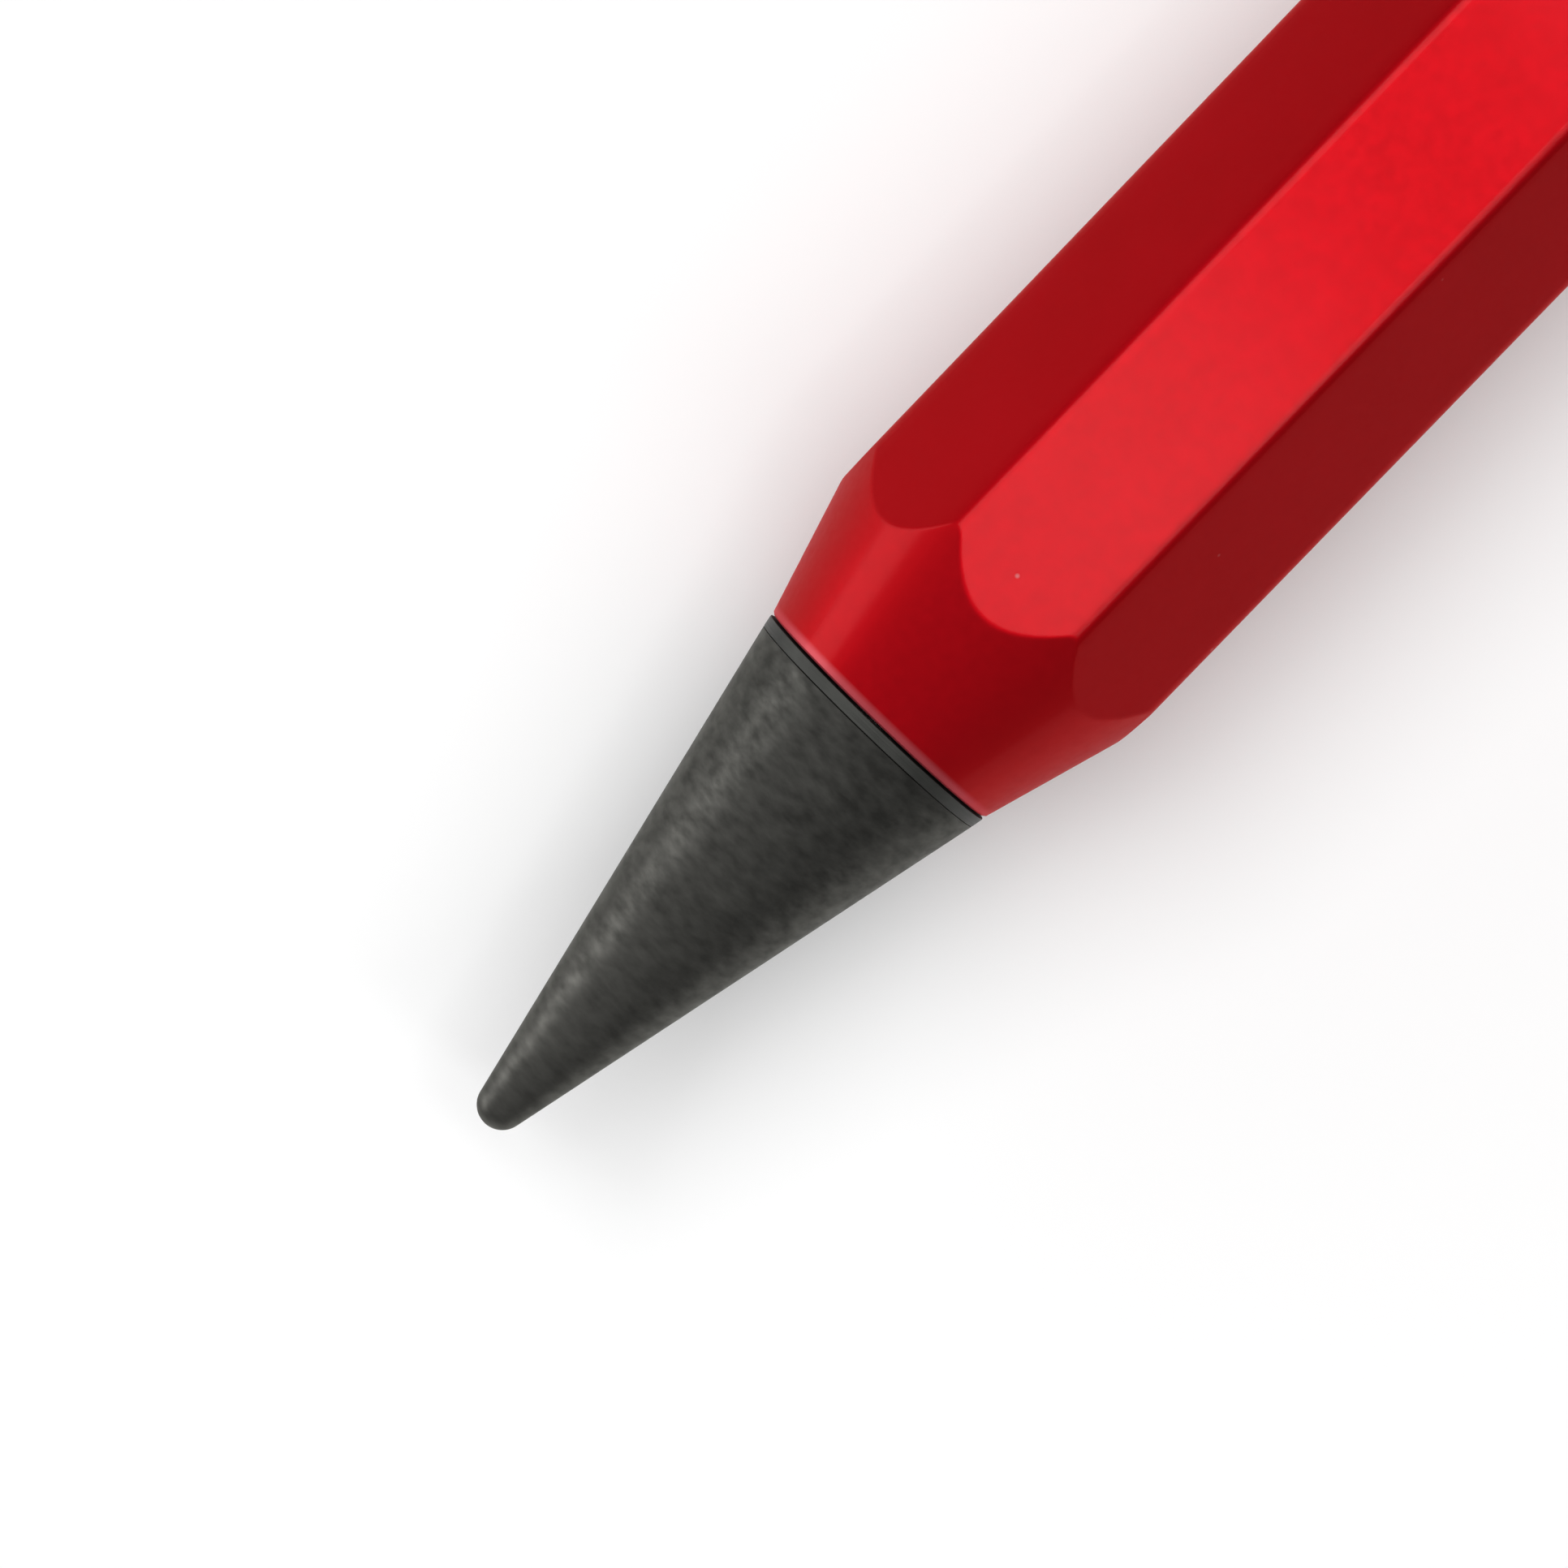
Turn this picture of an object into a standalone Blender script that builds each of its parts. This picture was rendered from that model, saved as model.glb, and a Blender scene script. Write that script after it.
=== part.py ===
"""Clutch lead holder with an octagonal barrel and a shouldered graphite point.

Metres, +Z up. The holder lies along X on one of its flats, with the point towards -X and the
push button towards +X. Lengths named *_AT are distances behind the barrel's mouth, and the
mouth's centre is the local origin of everything that isn't a clutch jaw.
"""
import math

import bmesh
import bpy
from mathutils import Vector

# Barrel: an octagonal bar with a turned nose and a stepped bore.
FLATS = 0.0080                  # across the flats
SIDES = 8
EDGE_RADIUS = 0.0005            # rounding of the long edges
BARREL_LENGTH = 0.1130          # mouth to rear end
NOSE_DROP = 0.0009              # how far the nose falls from the flats to the mouth
NOSE_ANGLE = math.radians(16.5)   # half angle of the turned nose
RIM_WIDTH = 0.00035             # flat rim round the mouth
BARREL_WALL = 0.0010            # wall at the flats round the main bore
REAR_DROP = 0.00015             # depth of the turned chamfer at the rear, below the flats
REAR_ANGLE = math.radians(40.0)

# Point: a graphite cone glued on a steel stem, with a thin collar at its foot.
POINT_LENGTH = 0.0120           # mouth to tip, collar included
TIP_RADIUS = 0.00055
COLLAR_THICKNESS = 0.00022
SPIGOT_DEPTH = 0.0050           # stem inside the graphite
STEM_REACH = 0.0050             # stem inside the lead tube
STEM_CHAMFER = 0.0003

# Clutch: three jaws that a conical seat in the nose squeezes on the stem.
BUSH_RECESS = 0.0005            # mouth to the closing bush
BUSH_LENGTH = 0.0060
BUSH_LIP = 0.00022              # bush wall at the wide end of its seat
SEAT_LENGTH = 0.0034
SEAT_ANGLE = math.radians(8.0)
THROAT_CLEARANCE = 0.0003       # room for the jaws' necks to swing open
JAW_COUNT = 3
JAW_SPAN = math.radians(112.0)
JAW_WALL = 0.00042
JAW_LENGTH = 0.0164
HEAD_LENGTH = 0.0030
HEAD_SETBACK = 0.0001           # jaws' front behind the bush's front
SOCKET_DEPTH = 0.0015           # jaws' roots inside the sleeve
SOCKET_CLEARANCE = 0.00008
SLEEVE_WALL = 0.00055           # sleeve round the jaws' roots
SLEEVE_LENGTH = 0.0104
TUBE_ENGAGEMENT = 0.0060        # lead tube inside the sleeve

# Feed: a tube from the clutch to the button, and the spring that draws it back.
TUBE_WALL = 0.00045
BORE_STEP_ROOM = 0.0020         # sleeve's rear end to the step in the barrel's bore
GUIDE_LENGTH = 0.0040
SPRING_LENGTH = 0.0180
SPRING_WIRE = 0.0005
SPRING_TURNS = 13
SPRING_END_PITCH = 0.00098      # the first and last turns lie closer
SPRING_TURN_POINTS = 10
COLLAR_LENGTH = 0.0030          # spring collar on the tube
COLLAR_CLEARANCE = 0.00015
RING_THICKNESS = 0.0005         # retaining ring behind the spring collar
RING_WIDTH = 0.0006
RING_OPENING = math.radians(50.0)
GROOVE_DEPTH = 0.0002

# Rear end: a flanged bush that guides the tube, and the push button.
REAR_BUSH_LENGTH = 0.0080
FLANGE_THICKNESS = 0.0012
FLANGE_STEP = 0.0002            # flange inside the barrel's rear end
PRESS_TRAVEL = 0.0035
BUTTON_STOP = 0.0007            # room left between button and flange when pressed
BUTTON_LENGTH = 0.0095
BUTTON_WALL = 0.0007
BUTTON_DOME = 0.0012            # height of the rounded end
BUTTON_CHAMFER = 0.0003
BUTTON_GROOVE = 0.00025         # depth and half width of the finger grooves
BUTTON_GROOVE_PITCH = 0.0013
BUTTON_GROOVES = 3
INSERT_WALL = 0.0006            # metal insert in the button
INSERT_LENGTH = 0.0060

# Clearances
SEAM_GAP = 0.0001               # mouth to the point's collar
SEAT_GAP = 0.00005              # faces that seat on each other
FIXED_GAP = 0.00003             # pressed or glued round fits
SLIDE_GAP = 0.00005             # sliding round fits

TURN_STEPS = 48
ARC_STEPS = 5
DOME_STEPS = 6
CUTTER_MARGIN = 0.001
WELD = 1e-6
SMOOTH_ANGLE = math.radians(30.0)

# Radii, from the flats inwards.
flat_radius = FLATS / 2
mouth_radius = flat_radius - NOSE_DROP
nose_bore = mouth_radius - RIM_WIDTH
bush_radius = nose_bore - FIXED_GAP
seat_radius = bush_radius - BUSH_LIP
throat_radius = seat_radius - SEAT_LENGTH * math.tan(SEAT_ANGLE)
neck_radius = throat_radius - THROAT_CLEARANCE
jaw_bore = neck_radius - JAW_WALL
stem_radius = jaw_bore - SLIDE_GAP
socket_radius = neck_radius + SOCKET_CLEARANCE
sleeve_radius = socket_radius + SLEEVE_WALL
sleeve_bore = sleeve_radius + SLIDE_GAP
tube_bore = stem_radius + 2 * SLIDE_GAP
tube_radius = tube_bore + TUBE_WALL
main_bore = flat_radius - BARREL_WALL
rear_radius = flat_radius - REAR_DROP

# Places along the axis, behind the mouth.
bush_end_at = BUSH_RECESS + BUSH_LENGTH
jaw_front_at = BUSH_RECESS + HEAD_SETBACK
jaw_root_at = jaw_front_at + JAW_LENGTH
socket_floor_at = jaw_root_at + SEAT_GAP
sleeve_front_at = socket_floor_at - SOCKET_DEPTH
sleeve_end_at = sleeve_front_at + SLEEVE_LENGTH
tube_front_at = sleeve_end_at - TUBE_ENGAGEMENT
stem_end_at = tube_front_at + STEM_REACH
bore_step_at = sleeve_end_at + BORE_STEP_ROOM
guide_front_at = bore_step_at + SEAT_GAP
guide_end_at = guide_front_at + GUIDE_LENGTH
spring_front_at = guide_end_at + SEAT_GAP
spring_end_at = spring_front_at + SPRING_LENGTH
collar_front_at = spring_end_at + SEAT_GAP
collar_end_at = collar_front_at + COLLAR_LENGTH
ring_front_at = collar_end_at + SEAT_GAP
ring_end_at = ring_front_at + RING_THICKNESS
flange_front_at = BARREL_LENGTH + SEAT_GAP
flange_end_at = flange_front_at + FLANGE_THICKNESS
button_front_at = flange_end_at + PRESS_TRAVEL + BUTTON_STOP
button_end_at = button_front_at + BUTTON_LENGTH
insert_front_at = button_front_at + SEAT_GAP
insert_end_at = insert_front_at + INSERT_LENGTH
tube_end_at = insert_end_at
point_foot_at = -SEAM_GAP
tip_at = point_foot_at - POINT_LENGTH

# The cone that runs from the mouth's rim to a round tip.
tip_centre_at = tip_at + TIP_RADIUS
cone_reach = point_foot_at - tip_centre_at
cone_angle = math.acos(TIP_RADIUS / math.hypot(mouth_radius, cone_reach)) - math.atan2(cone_reach, mouth_radius)


def cone_radius(at):
    """Radius of the point's cone at a distance behind the mouth."""
    return TIP_RADIUS / math.cos(cone_angle) + (at - tip_centre_at) * math.tan(cone_angle)


def seat_radius_at(at):
    """Radius of the closing bush's seat at a distance behind the mouth."""
    return seat_radius - (at - BUSH_RECESS) * math.tan(SEAT_ANGLE)


def finish(name, colour, metallic, roughness):
    """A Principled material for one sub-part."""
    material = bpy.data.materials.new(name)
    material.use_nodes = True
    shader = material.node_tree.nodes["Principled BSDF"]
    shader.inputs["Base Color"].default_value = (*colour, 1.0)
    shader.inputs["Metallic"].default_value = metallic
    shader.inputs["Roughness"].default_value = roughness
    return material


def add_piece(name, data, material=None, parent=None):
    """Link a mesh or curve to the scene as a named object."""
    piece = bpy.data.objects.new(name, data)
    bpy.context.collection.objects.link(piece)
    piece.parent = parent
    if material is not None:
        data.materials.append(material)
    return piece


def to_mesh(name, shape):
    """Weld a bmesh, turn its faces outwards and shade its round faces smooth."""
    bmesh.ops.remove_doubles(shape, verts=shape.verts, dist=WELD)
    bmesh.ops.recalc_face_normals(shape, faces=shape.faces)
    mesh = bpy.data.meshes.new(name)
    shape.to_mesh(mesh)
    shape.free()
    mesh.shade_smooth()
    mesh.set_sharp_from_angle(angle=SMOOTH_ANGLE)
    return mesh


def turned_mesh(name, outline, span=math.tau, start=0.0):
    """Turn a closed outline of (along, radius) points about the X axis.

    An outline that reaches the axis closes there by itself. A span below a full turn gives a
    sector with flat ends.
    """
    shape = bmesh.new()
    rim = []
    for along, radius in outline:
        rim.append(shape.verts.new((along, -radius * math.sin(start), radius * math.cos(start))))
    edges = []
    for i, (_, radius) in enumerate(outline):
        if radius > WELD or outline[i - 1][1] > WELD:
            edges.append(shape.edges.new((rim[i - 1], rim[i])))
    full = span >= math.tau
    steps = max(3, round(TURN_STEPS * span / math.tau))
    bmesh.ops.spin(shape, geom=rim + edges, axis=(1, 0, 0), cent=(0, 0, 0), angle=span, steps=steps,
                   use_merge=full)
    bmesh.ops.remove_doubles(shape, verts=shape.verts, dist=WELD)
    if not full:
        open_edges = [edge for edge in shape.edges if edge.is_boundary]
        bmesh.ops.holes_fill(shape, edges=open_edges, sides=0)
    return to_mesh(name, shape)


def tube_outline(front_at, end_at, inner, outer):
    """Outline of a plain ring or tube."""
    return [(front_at, inner), (front_at, outer), (end_at, outer), (end_at, inner)]


def add_turned(name, outline, material, parent):
    """A turned sub-part."""
    return add_piece(name, turned_mesh(name, outline), material, parent)


def add_cutter(name, outline, parent):
    """A turned tool for a Boolean, left out of the model."""
    cutter = add_piece(name, turned_mesh(name, outline), parent=parent)
    cutter.hide_render = True
    cutter.display_type = "WIRE"
    return cutter


def cut(piece, tool, operation):
    """Add a Boolean to a piece."""
    boolean = piece.modifiers.new(tool.name, "BOOLEAN")
    boolean.object = tool
    boolean.operation = operation
    boolean.solver = "EXACT"


def barrel_corners():
    """Section of the barrel: an octagon with a flat below and rounded corners, as (y, z)."""
    half_turn = math.pi / SIDES
    centre_reach = (flat_radius - EDGE_RADIUS) / math.cos(half_turn)
    corners = []
    for side in range(SIDES):
        middle = (2 * side + 1) * half_turn
        for step in range(ARC_STEPS + 1):
            turn = middle + half_turn * (2 * step / ARC_STEPS - 1)
            corners.append((centre_reach * math.cos(middle) + EDGE_RADIUS * math.cos(turn),
                            centre_reach * math.sin(middle) + EDGE_RADIUS * math.sin(turn)))
    return corners


def add_barrel(parent):
    """Octagonal bar, turned down to a nose in front and chamfered behind, with a stepped bore."""
    corners = barrel_corners()
    bar = bmesh.new()
    section = bar.faces.new([bar.verts.new((-CUTTER_MARGIN, y, z)) for y, z in corners])
    sweep = bmesh.ops.extrude_face_region(bar, geom=[section])
    moved = [item for item in sweep["geom"] if isinstance(item, bmesh.types.BMVert)]
    bmesh.ops.translate(bar, verts=moved, vec=(BARREL_LENGTH + 2 * CUTTER_MARGIN, 0, 0))
    red = finish("red_finish", (0.60, 0.012, 0.018), 0.6, 0.32)
    barrel = add_piece("barrel", to_mesh("barrel", bar), red, parent)

    widest = max(math.hypot(y, z) for y, z in corners) + CUTTER_MARGIN
    nose_end_at = (widest - mouth_radius) / math.tan(NOSE_ANGLE)
    rear_taper = (widest - rear_radius) / math.tan(REAR_ANGLE)
    envelope = [(0, 0), (0, mouth_radius), (nose_end_at, widest), (BARREL_LENGTH - rear_taper, widest),
                (BARREL_LENGTH, rear_radius), (BARREL_LENGTH, 0)]
    bore = [(-CUTTER_MARGIN, 0), (-CUTTER_MARGIN, nose_bore), (bush_end_at + SEAT_GAP, nose_bore),
            (bush_end_at + SEAT_GAP, sleeve_bore), (bore_step_at, sleeve_bore), (bore_step_at, main_bore),
            (BARREL_LENGTH + CUTTER_MARGIN, main_bore), (BARREL_LENGTH + CUTTER_MARGIN, 0)]
    cut(barrel, add_cutter("barrel_turning", envelope, parent), "INTERSECT")
    cut(barrel, add_cutter("barrel_boring", bore, parent), "DIFFERENCE")


def add_point(parent):
    """Graphite cone, the thin collar at its foot, and the stem that carries both."""
    collar_front = point_foot_at - COLLAR_THICKNESS
    graphite_foot = collar_front - SEAT_GAP
    socket_end = graphite_foot - SPIGOT_DEPTH
    hole = stem_radius + FIXED_GAP
    cone = [(graphite_foot, hole), (graphite_foot, cone_radius(graphite_foot))]
    for step in range(DOME_STEPS + 1):
        turn = cone_angle + (math.pi / 2 - cone_angle) * step / DOME_STEPS
        cone.append((tip_centre_at - TIP_RADIUS * math.sin(turn), TIP_RADIUS * math.cos(turn)))
    cone[-1] = (tip_at, 0.0)
    cone += [(socket_end, 0.0), (socket_end, hole)]
    add_turned("graphite_point", cone, finish("graphite", (0.045, 0.045, 0.042), 0.3, 0.45), parent)

    collar = [(collar_front, hole), (collar_front, cone_radius(collar_front)),
              (point_foot_at, cone_radius(point_foot_at)), (point_foot_at, hole)]
    add_turned("point_collar", collar, finish("grey_steel", (0.16, 0.16, 0.155), 0.9, 0.4), parent)

    spigot_front = socket_end + SEAT_GAP
    stem = [(spigot_front, 0), (spigot_front, stem_radius - STEM_CHAMFER),
            (spigot_front + STEM_CHAMFER, stem_radius), (stem_end_at - STEM_CHAMFER, stem_radius),
            (stem_end_at, stem_radius - STEM_CHAMFER), (stem_end_at, 0)]
    add_turned("point_stem", stem, finish("stem_steel", (0.55, 0.55, 0.54), 1.0, 0.3), parent)


def add_closing_bush(parent):
    """Bush pressed in the nose, whose conical seat squeezes the jaws."""
    throat_front = BUSH_RECESS + SEAT_LENGTH
    outline = [(BUSH_RECESS, seat_radius), (BUSH_RECESS, bush_radius), (bush_end_at, bush_radius),
               (bush_end_at, throat_radius), (throat_front, throat_radius)]
    add_turned("closing_bush", outline, finish("bush_brass", (0.62, 0.44, 0.17), 1.0, 0.35), parent)


def add_jaws(parent):
    """Clutch jaws round the stem, each with its origin where its root flexes in the sleeve."""
    head_end = jaw_front_at + HEAD_LENGTH
    outline = [(jaw_front_at, jaw_bore), (jaw_front_at, seat_radius_at(jaw_front_at) - SEAT_GAP),
               (head_end, seat_radius_at(head_end) - SEAT_GAP),
               (head_end + SEAT_LENGTH - HEAD_LENGTH, neck_radius), (jaw_root_at, neck_radius),
               (jaw_root_at, jaw_bore)]
    brass = finish("jaw_brass", (0.58, 0.42, 0.18), 1.0, 0.4)
    hinge = Vector((jaw_root_at, 0, (jaw_bore + neck_radius) / 2))
    for number in range(JAW_COUNT):
        name = f"clutch_jaw_{number + 1}"
        mesh = turned_mesh(name, outline, JAW_SPAN, -JAW_SPAN / 2)
        for vertex in mesh.vertices:
            vertex.co -= hinge
        jaw = add_piece(name, mesh, brass, parent)
        turn = number * math.tau / JAW_COUNT
        jaw.rotation_euler = (turn, 0, 0)
        jaw.location = (hinge.x, -hinge.z * math.sin(turn), hinge.z * math.cos(turn))


def add_feed(parent):
    """Sleeve behind the jaws, the lead tube, and the collar and ring that take the spring's push."""
    tube_fit = tube_radius + FIXED_GAP
    seat_floor = tube_front_at - SEAT_GAP
    sleeve = [(sleeve_front_at, socket_radius), (sleeve_front_at, sleeve_radius),
              (sleeve_end_at, sleeve_radius), (sleeve_end_at, tube_fit), (seat_floor, tube_fit),
              (seat_floor, tube_bore), (socket_floor_at, tube_bore), (socket_floor_at, socket_radius)]
    add_turned("clutch_sleeve", sleeve, finish("sleeve_brass", (0.60, 0.43, 0.18), 1.0, 0.4), parent)

    groove_front = ring_front_at - SEAT_GAP / 2
    groove_end = ring_end_at + SEAT_GAP / 2
    groove_radius = tube_radius - GROOVE_DEPTH
    tube = [(tube_front_at, tube_bore), (tube_front_at, tube_radius), (groove_front, tube_radius),
            (groove_front, groove_radius), (groove_end, groove_radius), (groove_end, tube_radius),
            (tube_end_at, tube_radius), (tube_end_at, tube_bore)]
    add_turned("lead_tube", tube, finish("tube_steel", (0.60, 0.60, 0.59), 1.0, 0.28), parent)

    collar = tube_outline(collar_front_at, collar_end_at, tube_fit, main_bore - COLLAR_CLEARANCE)
    add_turned("spring_collar", collar, finish("collar_brass", (0.60, 0.43, 0.18), 1.0, 0.4), parent)

    ring_bore = groove_radius + FIXED_GAP
    ring = tube_outline(ring_front_at, ring_end_at, ring_bore, ring_bore + RING_WIDTH)
    span = math.tau - RING_OPENING
    mesh = turned_mesh("retaining_ring", ring, span, RING_OPENING / 2)
    add_piece("retaining_ring", mesh, finish("ring_steel", (0.30, 0.30, 0.30), 1.0, 0.35), parent)


def add_guides(parent):
    """Bush at the step of the bore that stops the spring, and the flanged bush at the rear."""
    fit = main_bore - FIXED_GAP
    run = tube_radius + SLIDE_GAP
    guide = tube_outline(guide_front_at, guide_end_at, run, fit)
    add_turned("guide_bush", guide, finish("guide_brass", (0.60, 0.43, 0.18), 1.0, 0.4), parent)

    flange_radius = rear_radius - FLANGE_STEP
    front_at = BARREL_LENGTH - REAR_BUSH_LENGTH
    outline = [(front_at, run), (front_at, fit), (flange_front_at, fit), (flange_front_at, flange_radius),
               (flange_end_at - FLANGE_STEP, flange_radius), (flange_end_at, flange_radius - FLANGE_STEP),
               (flange_end_at, run)]
    add_turned("rear_bush", outline, finish("rear_steel", (0.62, 0.62, 0.61), 1.0, 0.25), parent)


def spring_path():
    """Centre line of the spring: close end turns and an even pitch between them."""
    radius = (main_bore + tube_radius) / 2
    first_at = spring_front_at + SPRING_WIRE / 2
    reach = SPRING_LENGTH - SPRING_WIRE
    pitch = (reach - 2 * SPRING_END_PITCH) / (SPRING_TURNS - 2)
    path = []
    for step in range(SPRING_TURNS * SPRING_TURN_POINTS + 1):
        turns = step / SPRING_TURN_POINTS
        front = min(turns, 1.0)
        rear = max(turns - (SPRING_TURNS - 1), 0.0)
        at = first_at + (front + rear) * SPRING_END_PITCH + (turns - front - rear) * pitch
        angle = math.tau * turns
        path.append(Vector((at, radius * math.sin(angle), radius * math.cos(angle))))
    return path


def least_self_gap(path):
    """Least clear distance between one turn of the spring and another."""
    apart = SPRING_TURN_POINTS // 2
    pairs = ((a, b) for i, a in enumerate(path) for b in path[i + apart:])
    return min((a - b).length for a, b in pairs) - SPRING_WIRE


def add_spring(parent):
    """Return spring, one unbroken round wire."""
    path = spring_path()
    wire = bpy.data.curves.new("return_spring", "CURVE")
    wire.dimensions = "3D"
    wire.bevel_depth = SPRING_WIRE / 2
    wire.bevel_resolution = 1
    wire.use_fill_caps = True
    spline = wire.splines.new("POLY")
    spline.points.add(len(path) - 1)
    for point, place in zip(spline.points, path):
        point.co = (*place, 1.0)
    add_piece("return_spring", wire, finish("spring_steel", (0.50, 0.50, 0.50), 1.0, 0.3), parent)
    print(f"return_spring least gap to itself {least_self_gap(path) * 1000:.3f} mm")


def add_button(parent):
    """Push button with three finger grooves, and the insert that holds it on the tube."""
    insert_bore = tube_radius + FIXED_GAP
    insert_radius = insert_bore + INSERT_WALL
    insert = tube_outline(insert_front_at, insert_end_at, insert_bore, insert_radius)
    add_turned("button_insert", insert, finish("insert_brass", (0.60, 0.43, 0.18), 1.0, 0.4), parent)

    hole = insert_radius + FIXED_GAP
    radius = hole + BUTTON_WALL
    dome_at = button_end_at - BUTTON_DOME
    outline = [(button_front_at, hole), (button_front_at, radius - BUTTON_CHAMFER),
               (button_front_at + BUTTON_CHAMFER, radius)]
    for groove in range(BUTTON_GROOVES):
        middle = dome_at - (BUTTON_GROOVES - groove) * BUTTON_GROOVE_PITCH
        outline += [(middle - BUTTON_GROOVE, radius), (middle, radius - BUTTON_GROOVE),
                    (middle + BUTTON_GROOVE, radius)]
    for step in range(DOME_STEPS):
        turn = math.pi / 2 * step / DOME_STEPS
        outline.append((dome_at + BUTTON_DOME * math.sin(turn), radius * math.cos(turn)))
    outline += [(button_end_at, 0), (insert_end_at + SEAT_GAP, 0), (insert_end_at + SEAT_GAP, hole)]
    add_turned("push_button", outline, finish("button_steel", (0.62, 0.62, 0.61), 1.0, 0.25), parent)


for old in list(bpy.data.objects):
    bpy.data.objects.remove(old, do_unlink=True)

mouth_x = -(tip_at + button_end_at) / 2
axis = add_piece("holder_axis", None)
axis.location = (mouth_x, 0, flat_radius)
clutch = add_piece("clutch_slide", None, parent=axis)
point = add_piece("point_slide", None, parent=clutch)

add_barrel(axis)
add_closing_bush(axis)
add_guides(axis)
add_spring(axis)
add_feed(clutch)
add_jaws(clutch)
add_button(clutch)
add_point(point)
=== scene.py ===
"""Looks of a clutch lead holder: a red octagonal barrel with a turned nose, and a graphite point.

Metres, +Z up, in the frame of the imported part. The holder lies along X on one of its flats, with its
point towards -X and its push button towards +X.
"""
import math

import bmesh
import bpy
from mathutils import Euler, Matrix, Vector


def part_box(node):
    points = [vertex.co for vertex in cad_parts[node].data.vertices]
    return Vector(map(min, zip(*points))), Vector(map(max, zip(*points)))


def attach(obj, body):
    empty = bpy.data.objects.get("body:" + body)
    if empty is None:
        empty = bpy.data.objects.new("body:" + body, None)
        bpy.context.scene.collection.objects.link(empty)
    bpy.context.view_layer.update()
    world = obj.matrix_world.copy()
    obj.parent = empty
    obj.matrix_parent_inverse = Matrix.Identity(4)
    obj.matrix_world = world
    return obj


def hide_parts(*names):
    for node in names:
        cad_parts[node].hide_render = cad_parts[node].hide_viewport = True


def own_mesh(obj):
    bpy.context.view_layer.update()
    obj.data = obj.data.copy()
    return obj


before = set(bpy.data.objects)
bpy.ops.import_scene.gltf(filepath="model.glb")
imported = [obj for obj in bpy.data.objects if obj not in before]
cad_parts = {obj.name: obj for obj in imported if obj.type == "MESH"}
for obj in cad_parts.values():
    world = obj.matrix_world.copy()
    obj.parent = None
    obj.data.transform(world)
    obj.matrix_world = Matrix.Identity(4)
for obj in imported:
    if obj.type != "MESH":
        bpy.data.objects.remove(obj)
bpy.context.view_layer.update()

# Barrel. A bar of red anodised aluminium, octagonal, with its long edges rounded. The front is turned to a
# cone, which runs out into each flat in a round scallop, and the rear is chamfered. Its bore steps inwards
# at the clutch and out again at the nose, where the closing bush is pressed in.
SIDES = 8
EDGE_RADIUS = 0.0005
NOSE_SLOPE = math.tan(math.radians(16.5))
REAR_SLOPE = math.tan(math.radians(40.0))
REAR_DROP = 0.00015
MOUTH_LIP = 0.00004
CREASE_ROUND = 0.00003
PRESS_FIT = 0.00003
SLIDE_FIT = 0.00005
SIDE_COLUMNS = 24
FLAT_COLUMNS = 14
NOSE_ROWS = 20
BODY_ROWS = 24
CREASE_ROWS = 5
TURNING_STEPS = 96
REAL_EDGE = math.radians(32.0)

# Its finish. The rim of the mouth is painted a paler red, partly its wear and partly a painted highlight of
# the lip, and specks of dust lie on the clear coat.
RED_DARK = (0.349, 0.001, 0.004)
RED_LIGHT = (0.367, 0.001, 0.005)
RED_SHEEN = (1.0, 0.10, 0.12, 1.0)
RED_METALLIC = 0.80
RED_SMOOTH = 0.45
RED_ROUGH = 0.51
COAT_WEIGHT = 0.10
COAT_ROUGHNESS = 0.16
RIPPLE_DEPTH = 0.000001
RIM_HIGHLIGHT_AND_WEAR_RED = (0.50, 0.10, 0.12)
RIM_HIGHLIGHT_AND_WEAR_WIDTH = 0.00012
RIM_HIGHLIGHT_AND_WEAR_SHARE = 0.6
DUST_COLOUR = (0.62, 0.30, 0.30)
DUST_SPACING = 0.0011
DUST_SEED = 7.3
DUST_SHARE = 0.4
DUST_ROUGHNESS = 0.4
SPECK_CORE = 0.025
SPECK_EDGE = 0.06

barrel_low, barrel_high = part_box("barrel")
axis_z = (barrel_low.z + barrel_high.z) / 2
mouth_x = barrel_low.x
rear_x = barrel_high.x
flat_radius = barrel_high.z - axis_z
corner_radius = (flat_radius - EDGE_RADIUS) / math.cos(math.pi / SIDES) + EDGE_RADIUS
mouth_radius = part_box("point_collar")[1].z - axis_z
rear_radius = flat_radius - REAR_DROP
nose_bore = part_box("closing_bush")[1].z - axis_z + PRESS_FIT
sleeve_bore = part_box("clutch_sleeve")[1].z - axis_z + SLIDE_FIT
main_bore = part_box("guide_bush")[1].z - axis_z + PRESS_FIT
bush_floor_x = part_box("closing_bush")[1].x + SLIDE_FIT
bore_step_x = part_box("guide_bush")[0].x - SLIDE_FIT
nose_start_x = mouth_x + MOUTH_LIP
shoulder_x = mouth_x + (corner_radius - mouth_radius) / NOSE_SLOPE
heel_x = rear_x - (corner_radius - rear_radius) / REAR_SLOPE


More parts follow.
